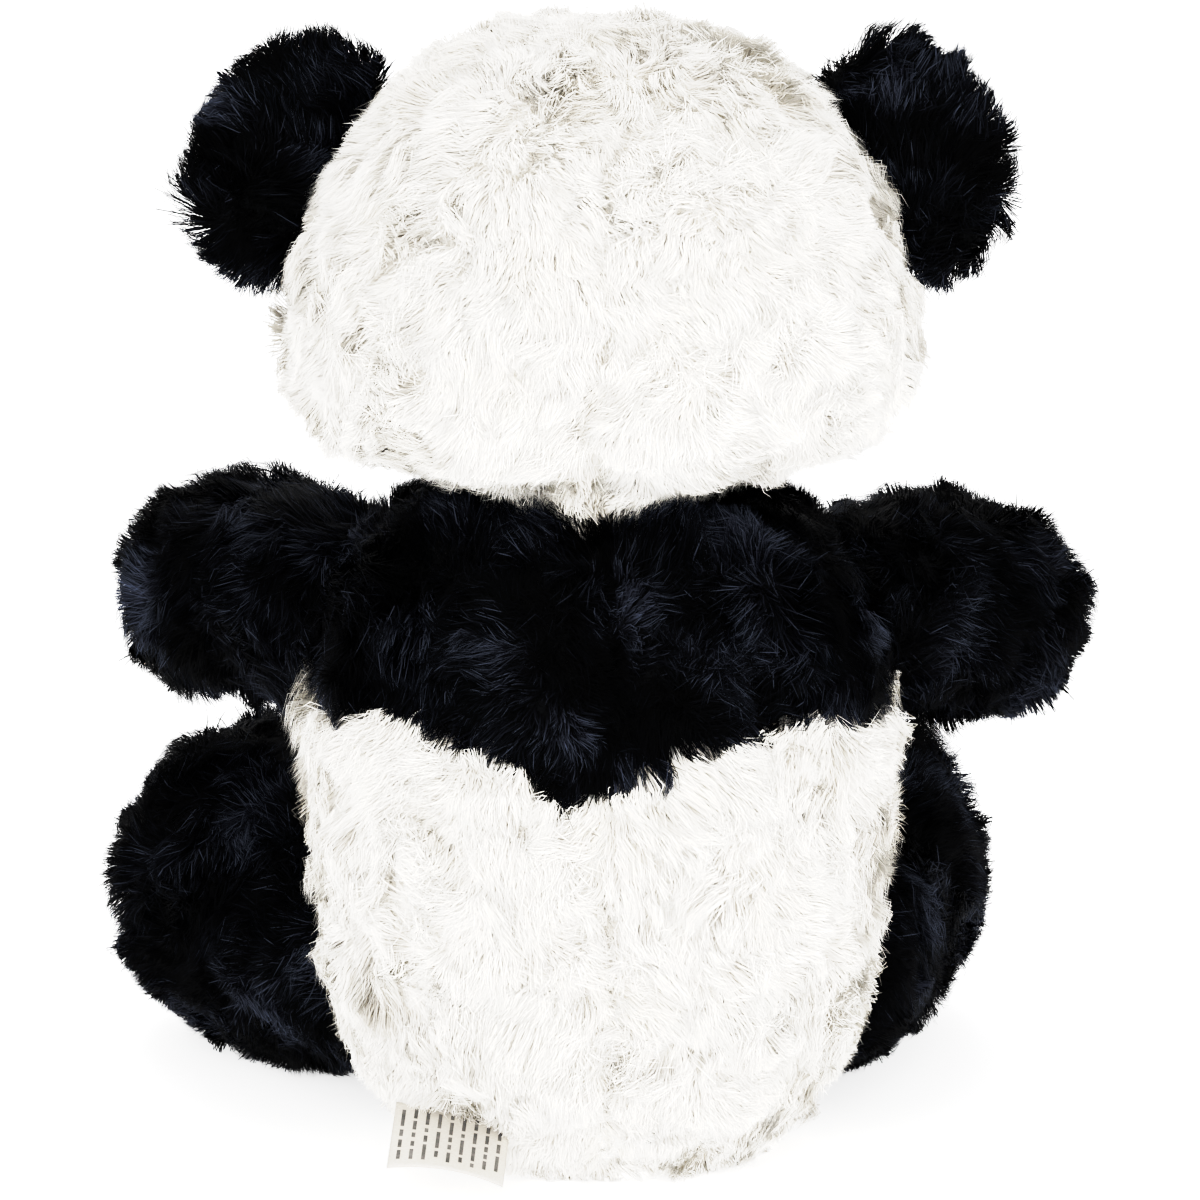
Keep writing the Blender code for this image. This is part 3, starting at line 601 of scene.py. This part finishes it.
def clumped(roots, tips, draw, seed):
    """The tips once static and wear have drawn the pile into locks and tufts; a few strands stray."""
    locks, tufts = cells_of(roots, LOCK_SIZE, seed + 4), cells_of(roots, TUFT_SIZE, seed + 5)
    lock_tip, tuft_tip = clump(locks, tips), clump(tufts, tips)
    pull = 0.22 + 0.20 * np.clip(waves(roots, 0.03, seed + 6)[:, :1], -1, 1)
    stray = (draw.random(len(roots)) < STRAY_SHARE)[:, None]
    pull = np.where(stray, 0.0, pull)
    return tips + (lock_tip - tips) * pull + (tuft_tip - tips) * np.where(stray, 0, TUFT_PULL)


def ribbons(roots, tips, normals, lengths, styles, draw, seed):
    """(points, shading normals) of the bowed and tapered ribbon of each strand."""
    count = len(roots)
    across = tips - roots
    turn = draw.normal(0, STRAND_ROLL, count)[:, None]
    flat = unit(np.cross(across, normals))
    edge = unit(np.cross(flat, across))
    side = flat * np.cos(turn) + edge * np.sin(turn)
    half = STRAND_WIDTH / 2 * styles[:, BREADTH:BREADTH + 1] * draw.uniform(0.7, 1.3, count)[:, None]
    half /= math.sqrt(PILE_SHARE)
    curl = 0.55 * waves(roots, 0.010, seed + 7) + draw.normal(0, 0.18, (count, 3))
    rows = []
    for step, taper in zip(STRAND_STEPS, STRAND_TAPER):
        bow = (normals * 0.4 + curl) * lengths * step * (1 - step)
        centre = roots + across * step + bow - normals * ROOT_DEPTH * (step == 0)
        centre[:, 2] = np.maximum(centre[:, 2], FLOOR_CLEARANCE)
        rows.extend((centre - side * half * taper, centre + side * half * taper) if taper else (centre,))
    points = np.stack(rows, axis=1)
    points[:, :, 2] = np.maximum(points[:, :, 2], FLOOR_CLEARANCE / 2)
    return points, unit(normals * SOFTNESS + edge * (1 - SOFTNESS))


def grow(form, clear, seed):
    """The pile and the backing of every panel of a form."""
    draw = np.random.default_rng(seed)
    roots, normals, panel, styles = scatter(form, clear, draw)
    lengths, tips, patchy_tone_and_sheen, parting_and_seam_shade = combed(form.body, roots, normals, styles, draw, seed)
    tips = clumped(roots, tips, draw, seed)
    points, facing = ribbons(roots, tips, normals, lengths, styles, draw, seed)
    # The tint: random tone, lowered by the parting as painted shade along the centre seams; its high end
    # gives the black pile painted glints of sheen.
    tint_glint_and_shade = np.clip(0.5 + patchy_tone_and_sheen + draw.normal(0, 0.17, len(roots)) - parting_and_seam_shade, 0.02, 0.98)
    for number, name in enumerate(form.panels):
        own = panel == number
        colour = "white" if name in WHITE_PANELS else "black"
        pile = strand_piece(name + "_pile", points[own], facing[own], tint_glint_and_shade[own], PILE[colour])
        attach(pile, form.body)
        backing = backing_piece(form, number, name, colour)
        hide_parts(name)


def strand_piece(name, points, facing, tint_glint_and_shade, material):
    """One tapered ribbon for each row of points: quads between its steps and a pointed end."""
    count, each = points.shape[:2]
    start = np.arange(count)[:, None] * each
    quads = [[k, k + 1, k + 3, k + 2] for k in range(0, each - 3, 2)]
    end = [each - 3, each - 2, each - 1]
    corners = np.array(sum(quads, []) + end)
    sizes = [4] * len(quads) + [3]
    mesh = make_mesh(name, points.reshape(-1, 3), (start + corners).ravel(), np.tile(sizes, count))
    v = np.clip(np.array(STRAND_STEPS)[corners // 2], 0.01, 0.99)
    uv = np.stack([np.repeat(tint_glint_and_shade, len(corners)), np.tile(v, count)], axis=1)
    layer = mesh.uv_layers.new(name="OFBake")
    layer.data.foreach_set("uv", uv.astype(np.float32).ravel())
    mesh.normals_split_custom_set_from_vertices(np.repeat(facing, each, axis=0))
    return make_object(name, mesh, material)


# ---------------------------------------------------------------- stuffing

def stuffing_piece(name, node, body):
    """A wad of fibrefill: the CAD stuffing with the lumps that packing by hand leaves."""
    points, faces, _ = node_arrays([node])
    wad = make_object(name, make_mesh(name, points, faces.ravel(), np.full(len(faces), 3)), FIBREFILL)
    remesh = wad.modifiers.new("weld", "REMESH")
    remesh.mode = "VOXEL"
    remesh.voxel_size = VOXEL
    smooth = wad.modifiers.new("smooth", "SMOOTH")
    smooth.iterations = SMOOTH_PASSES // 2
    apply_modifiers(wad)
    points, normals = coordinates(wad.data), vertex_normals(wad.data)
    lumps = 1 + 0.5 * waves(points, 0.014, SEED + 50)[:, :1] + 0.3 * waves(points, 0.006, SEED + 51)[:, :1]
    points -= normals * STUFFING_LUMPS * np.clip(lumps, 0.2, 2.2)
    wad.data.vertices.foreach_set("co", points.astype(np.float32).ravel())
    wad.data.update()
    wad.data.polygons.foreach_set("use_smooth", np.ones(len(wad.data.polygons), bool))
    wad.data.materials.clear()
    wad.data.materials.append(FIBREFILL)
    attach(wad, body)
    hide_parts(node)


# ---------------------------------------------------------------- eyes, nose and mouth

def axis_frame(node, washer):
    """Where a safety eye or nose sits, with local +Z looking out along its shank."""
    low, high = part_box(node)
    washer_low, washer_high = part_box(washer)
    out = ((low + high) / 2 - (washer_low + washer_high) / 2).normalized()
    across = Vector((1, 0, 0)) - out * out.x
    across.normalize()
    up = out.cross(across)
    points = np.array(coordinates(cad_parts[node].data))
    reach = (points @ np.array(out)).max()
    middle = (washer_low + washer_high) / 2
    foot = middle + out * (reach - middle.dot(out))
    turn = Matrix((across, up, out)).transposed().to_4x4()
    return Matrix.Translation(foot) @ turn


def lathe_outline(name, outline, profile, material, steps=64):
    """A dome: rings of outline (an angle to a radius) scaled by profile's (share, height) pairs."""
    angles = np.linspace(0, 2 * math.pi, steps, endpoint=False)
    radius = np.array([outline(angle) for angle in angles])
    rings = [np.stack([np.cos(angles) * radius * share, np.sin(angles) * radius * share,
                       np.full(steps, height)], axis=1) for share, height in profile]
    points = np.concatenate(rings + [[[0, 0, profile[-1][1]]], [[0, 0, profile[0][1]]]])
    loops, sizes, top, bottom = [], [], len(points) - 2, len(points) - 1
    for ring in range(len(profile) - 1):
        for k in range(steps):
            a, b = ring * steps + k, ring * steps + (k + 1) % steps
            loops += [a, b, b + steps, a + steps]
            sizes.append(4)
    last = (len(profile) - 1) * steps
    for k in range(steps):
        loops += [last + k, last + (k + 1) % steps, top]
        loops += [(k + 1) % steps, k, bottom]
        sizes += [3, 3]
    return make_object(name, make_mesh(name, points, loops, sizes), material)


def dome_profile(height, shank, rings=14):
    """From the tip of the shank up its ribbed side, under the rim and over the dome to its top."""
    edge, depth = RIM_EDGE, SHANK_LENGTH
    profile = [(shank * 0.5, -height - depth), (shank, -height - depth + edge)]
    for rib in range(4):
        base = -height - depth * (0.8 - 0.2 * rib)
        profile += [(shank, base), (shank * 1.25, base + edge * 0.6), (shank, base + edge * 1.2)]
    profile += [(shank, -height - edge), (0.94, -height - edge), (1.0, -height)]
    for ring in range(1, rings):
        turn = ring / rings * math.pi / 2
        profile.append((math.cos(turn), -height + height * math.sin(turn)))
    return profile + [(0.02, 0.0)]


def eye_material():
    """Moulded eye: black pupil and rim, brown iris, under a clear gloss."""
    material, nodes, links, principled = shader("eye_gloss", Roughness=0.08, Specular_IOR_Level=0.16)
    place = nodes.new("ShaderNodeTexCoord")
    flat = nodes.new("ShaderNodeVectorMath")
    flat.operation = "MULTIPLY"
    flat.inputs[1].default_value = (1 / EYE_RADIUS, 1 / EYE_RADIUS, 0)
    links.new(place.outputs["Object"], flat.inputs[0])
    far = nodes.new("ShaderNodeVectorMath")
    far.operation = "LENGTH"
    links.new(flat.outputs["Vector"], far.inputs[0])
    black, brown = (0.002, 0.002, 0.002), (0.030, 0.011, 0.004)
    stops = ((0.0, black), (0.50, black), (0.55, (0.016, 0.006, 0.002)), (0.74, brown),
             (0.84, (0.012, 0.005, 0.002)), (0.88, black))
    links.new(ramp(nodes, links, far.outputs["Value"], stops), principled.inputs["Base Color"])
    return material


def safety_eye(side):
    node = "eye_" + side
    eye = lathe_outline(node + "_plastic", lambda angle: EYE_RADIUS,
                        dome_profile(EYE_HEIGHT, EYE_SHANK), EYE_GLOSS)
    eye.matrix_world = axis_frame(node, "eye_washer_" + side)
    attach(eye, "head")
    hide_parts(node)
    return eye


def safety_nose():
    """A soft triangle, broad at the top, with a low dome and a leathery grain."""
    low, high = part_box("nose")
    width = (high.x - low.x) / 2

    def outline(angle):
        corner = 0.09 * math.cos(3 * (angle + math.pi / 2)) + 0.17 * abs(math.cos(angle)) ** 1.5
        return width * (0.77 + corner)

    nose = lathe_outline("nose_plastic", outline, dome_profile(NOSE_HEIGHT, NOSE_SHANK), NOSE_VINYL)
    nose.matrix_world = axis_frame("nose", "nose_washer")
    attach(nose, "head")
    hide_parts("nose")
    return nose


def on_face(x, z):
    """The point of the head's cover straight in front of (x, z), seen from the front."""
    place, normal, _, _ = forms["head"].tree.ray_cast(Vector((x, -0.3, z)), Vector((0, 1, 0)))
    return place + normal * THREAD_RADIUS


def mouth():
    """Two-ply thread: a short line down from the nose and a smile to each side of it."""
    low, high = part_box("mouth_stitching")
    nose_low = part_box("nose")[0].z
    wide, corner, bottom = high.x, high.z - MOUTH_INSET, low.z + MOUTH_INSET
    paths = [[on_face(0, nose_low + (bottom - nose_low) * k / 8) for k in range(9)]]
    for way in (-1, 1):
        smile = []
        for k in range(MOUTH_STEPS + 1):
            turn = math.pi * k / MOUTH_STEPS
            height = bottom + (corner - bottom) * (k / MOUTH_STEPS) ** 2 - MOUTH_SAG * math.sin(turn)
            smile.append(on_face(way * wide / 2 * (1 - math.cos(turn)), height))
        paths.append(smile)
    curve = bpy.data.curves.new("mouth_thread", "CURVE")
    curve.dimensions = "3D"
    curve.bevel_depth = THREAD_RADIUS * 0.62
    curve.bevel_resolution = 3
    curve.use_fill_caps = True
    for path in paths:
        dense = dense_path(path, 12)
        along = unit(np.gradient(dense, axis=0))
        side = unit(np.cross(along, [0.0, 1.0, 0.05]))
        out = np.cross(side, along)
        length = np.concatenate([[0], np.cumsum(np.linalg.norm(np.diff(dense, axis=0), axis=1))])
        for ply in (0, math.pi):
            turn = (length / THREAD_LAY * 2 * math.pi + ply)[:, None]
            ply_points = dense + (side * np.cos(turn) + out * np.sin(turn)) * THREAD_RADIUS * 0.5
            spline = curve.splines.new("POLY")
            spline.points.add(len(ply_points) - 1)
            for point, place in zip(spline.points, ply_points):
                point.co = (*place, 1)
    thread = bpy.data.objects.new("mouth_thread", curve)
    bpy.context.scene.collection.objects.link(thread)
    curve.materials.append(THREAD)
    thread_piece(thread)
    return np.concatenate([dense_path(path, 4) for path in paths])


def dense_path(path, steps):
    """The points of a path with steps points for each stretch between them."""
    path = np.array([tuple(point) for point in path])
    at = np.linspace(0, len(path) - 1, (len(path) - 1) * steps + 1)
    return np.stack([np.interp(at, np.arange(len(path)), path[:, k]) for k in range(3)], axis=1)


def thread_piece(thread):
    """The curves of the thread as one mesh that rides on the head."""
    mesh = bpy.data.meshes.new_from_object(thread.evaluated_get(bpy.context.evaluated_depsgraph_get()))
    name = thread.name
    bpy.data.objects.remove(thread)
    made = make_object(name + "_twist", mesh)
    for face in mesh.polygons:
        face.use_smooth = True
    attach(made, "head")
    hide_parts("mouth_stitching")


# ---------------------------------------------------------------- care label

def label_frame():
    """(middle of the seam edge, across, down the drop, out of the face, width, drop) of the CAD label."""
    points = coordinates(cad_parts["care_label"].data)
    middle = points.mean(axis=0)
    across, down, out = np.linalg.svd(points - middle, full_matrices=False)[2]
    across = across * np.sign(across[0])
    down = down * -np.sign(down[2])
    out = out * np.sign(out[1])
    width = np.ptp(points @ across)
    drop = np.ptp(points @ down)
    return middle - down * drop / 2, across, down, out, width, drop


def care_label():
    """Satin tape folded across, sewn in by both ends; its rows of short bars spell nothing."""
    origin, across, down, out, width, drop = label_frame()
    length = 2 * drop
    loop = LABEL_FOLD * math.pi

    def place(u, s, lift=0.0):
        """u across from -0.5 to 0.5, s along the tape from the front end round the fold to the back."""
        u, s = np.asarray(u, float), np.asarray(s, float)
        straight = (length - loop) / 2
        turn = np.clip((s - straight) / loop, 0, 1) * math.pi
        fall = np.where(s < straight, s, np.where(s > straight + loop, length - s, straight))
        fall = fall + LABEL_FOLD * np.sin(turn)
        stand = (LABEL_FOLD + lift) * np.cos(turn)
        curl = LABEL_CURL * (1 - (2 * u) ** 2) * (fall / drop) ** 1.5 - LABEL_LIFT * (fall / drop) ** 2
        rows = origin + across * (u * width)[..., None] + down * fall[..., None]
        return rows + out * (stand + curl)[..., None]

    columns, steps = np.linspace(-0.5, 0.5, 29), np.linspace(0, length, 61)
    grid = place(*np.meshgrid(columns, steps))
    cloth = grid_piece("care_label_satin", grid, SATIN)
    thick = cloth.modifiers.new("thickness", "SOLIDIFY")
    thick.thickness = LABEL_THICKNESS
    thick.offset = 0
    apply_modifiers(cloth)
    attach(cloth, "torso")
    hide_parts("care_label")

    draw = np.random.default_rng(SEED + 900)
    bars, lift = [], LABEL_THICKNESS / 2 + INK_LIFT
    half_bar = LABEL_BAR / 2 / width
    pitch = 1 - 2 * (LABEL_MARGIN + LABEL_BAR) / width
    for row in range(LABEL_ROWS):
        middle = (row / (LABEL_ROWS - 1) - 0.5) * pitch
        at = draw.uniform(0.0010, 0.0030)
        while at < drop - 0.0045:
            end = min(at + draw.uniform(0.0016, 0.0070), drop - 0.0030)
            us, ss = np.meshgrid([middle - half_bar, middle + half_bar], np.linspace(at, end, 6))
            bars.append(place(us, ss, lift))
            at = end + draw.uniform(0.0008, 0.0016)
    printed = grid_piece("care_label_rows", bars, LABEL_INK)
    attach(printed, "torso")


def grid_piece(name, grids, material):
    """One mesh of one or more grids of points, each an array of rows and columns."""
    grids = [grids] if isinstance(grids, np.ndarray) else grids
    points, loops, sizes, start = [], [], [], 0
    for grid in grids:
        rows, columns = grid.shape[:2]
        corner = np.arange(rows * columns).reshape(rows, columns) + start
        quads = np.stack([corner[:-1, :-1], corner[:-1, 1:], corner[1:, 1:], corner[1:, :-1]], axis=-1)
        points.append(grid.reshape(-1, 3))
        loops.append(quads.ravel())
        sizes += [4] * quads[..., 0].size
        start += rows * columns
    return make_object(name, make_mesh(name, np.concatenate(points), np.concatenate(loops), sizes), material)


def satin_material():
    """Satin tape: fine floating threads that catch the light in streaks."""
    material, nodes, links, principled = shader("satin", Roughness=0.42, Sheen_Weight=0.3,
                                                Specular_IOR_Level=0.5)
    place = nodes.new("ShaderNodeTexCoord")
    stretch = nodes.new("ShaderNodeMapping")
    stretch.inputs["Scale"].default_value = (900, 5200, 5200)
    links.new(place.outputs["Object"], stretch.inputs["Vector"])
    threads = nodes.new("ShaderNodeTexNoise")
    threads.inputs["Scale"].default_value = 1
    links.new(stretch.outputs["Vector"], threads.inputs["Vector"])
    stops = ((0.3, (0.50, 0.46, 0.40)), (0.7, (0.62, 0.58, 0.52)))
    links.new(ramp(nodes, links, threads.outputs["Fac"], stops), principled.inputs["Base Color"])
    bump = nodes.new("ShaderNodeBump")
    bump.inputs["Strength"].default_value = 0.3
    bump.inputs["Distance"].default_value = 0.0001
    links.new(threads.outputs["Fac"], bump.inputs["Height"])
    links.new(bump.outputs["Normal"], principled.inputs["Normal"])
    return material


EYE_GLOSS = eye_material()
NOSE_VINYL = plastic_material("nose_vinyl", (0.006, 0.006, 0.007), (0.014, 0.013, 0.013), 0.8,
                              Roughness=0.34, Specular_IOR_Level=0.16)
WASHER_PLASTIC = plastic_material("washer_plastic", (0.62, 0.62, 0.60), (0.78, 0.78, 0.76), 0.2,
                                  Roughness=0.45)
THREAD = plastic_material("thread_ply", (0.004, 0.004, 0.005), (0.015, 0.015, 0.017), 0.9,
                          Roughness=0.6, Sheen_Weight=0.4)
LABEL_INK = plastic_material("label_ink", (0.10, 0.095, 0.09), (0.22, 0.21, 0.20), 0.1, Roughness=0.7)
SATIN = satin_material()


# ---------------------------------------------------------------- bodies

forms = {
    "head": Form("head", HEAD_PANELS, ("head_stuffing", "muzzle_stuffing")),
    "torso": Form("torso", TORSO_PANELS, ("body_stuffing",)),
    "neck": Form("neck", ("neck_stuffing",), ()),
}
for side in SIDES:
    ear, arm, leg = "ear_" + side, "arm_" + side, "leg_" + side
    forms[ear] = Form(ear, (ear + "_front", ear + "_back"), ())
    forms[arm] = Form(arm, (arm + "_front", arm + "_back"), (arm + "_stuffing",))
    leg_panels = (leg + "_inner", leg + "_outer", "foot_" + side + "_sole")
    forms[leg] = Form(leg, leg_panels, (leg + "_stuffing",))

trim = [safety_eye(side) for side in SIDES] + [safety_nose()]
trim_trees = [world_tree(piece) for piece in trim]
mouth_line = mouth()
care_label()
for side in SIDES:
    use_material("eye_washer_" + side, WASHER_PLASTIC)
use_material("nose_washer", WASHER_PLASTIC)

for number, form in enumerate(forms.values()):
    others = [other.tree for other in forms.values() if other is not form]
    if form.body == "head":
        others += trim_trees
    grow(form, form.clearance(others), SEED + 100 * number)
for node, body in STUFFING.items():
    stuffing_piece(node.replace("stuffing", "fibrefill"), node, body)
for form in forms.values():
    bpy.data.objects.remove(form.object)


# ---------------------------------------------------------------- floor, light and camera

def stage_scene():
    """Plain white paper under the toy."""
    paper = shader("floor_paper", Base_Color=(0.96, 0.96, 0.96, 1), Roughness=0.9, Specular_IOR_Level=0.1,
                   Emission_Color=(1, 1, 1, 1), Emission_Strength=FLOOR_GLOW)[0]
    bpy.ops.mesh.primitive_plane_add(size=FLOOR_SIZE)
    floor = bpy.context.object
    floor.name = "floor"
    floor.data.materials.append(paper)


def area_light(name, place, size, power):
    """A square soft light that faces the toy."""
    light = bpy.data.lights.new(name, "AREA")
    light.size = size
    light.energy = power
    lamp = bpy.data.objects.new(name, light)
    bpy.context.scene.collection.objects.link(lamp)
    lamp.location = place
    lamp.rotation_mode = "QUATERNION"
    lamp.rotation_quaternion = (CAMERA_TARGET - Vector(place)).to_track_quat("-Z", "Y")


def light_scene():
    """Soft studio lights in a white room, whose walls look brighter than the light they give."""
    world = bpy.data.worlds.new("studio")
    bpy.context.scene.world = world
    world.use_nodes = True
    nodes, links = world.node_tree.nodes, world.node_tree.links
    room = nodes["Background"]
    room.inputs["Color"].default_value = (1, 1, 1, 1)
    room.inputs["Strength"].default_value = ROOM_LIGHT
    backdrop = nodes.new("ShaderNodeBackground")
    backdrop.inputs["Strength"].default_value = BACKDROP_LIGHT
    path = nodes.new("ShaderNodeLightPath")
    seen = nodes.new("ShaderNodeMixShader")
    links.new(path.outputs["Is Camera Ray"], seen.inputs[0])
    links.new(room.outputs["Background"], seen.inputs[1])
    links.new(backdrop.outputs["Background"], seen.inputs[2])
    links.new(seen.outputs["Shader"], nodes["World Output"].inputs["Surface"])
    for name, place, size, power in LIGHTS:
        area_light(name, place, size, power)
    view = bpy.context.scene.view_settings
    view.view_transform = "Standard"
    view.look = "None"
    view.use_curve_mapping = True
    response = view.curve_mapping.curves[3]
    for light, shown in RESPONSE:
        response.points.new(light, shown)
    view.curve_mapping.update()


def place_camera():
    """Behind the toy and a little above it, looking along -Y."""
    camera = bpy.data.cameras.new("camera")
    camera.sensor_width = SENSOR
    camera.lens = SENSOR * CAMERA_DISTANCE / FRAME_WIDTH
    camera.clip_end = 100
    seen = bpy.data.objects.new("camera", camera)
    bpy.context.scene.collection.objects.link(seen)
    slope = math.radians(CAMERA_ELEVATION)
    back = Vector((0, math.cos(slope), math.sin(slope)))
    seen.location = CAMERA_TARGET + back * CAMERA_DISTANCE
    seen.rotation_mode = "QUATERNION"
    seen.rotation_quaternion = (-back).to_track_quat("-Z", "Y")
    bpy.context.scene.camera = seen


stage_scene()
light_scene()
place_camera()
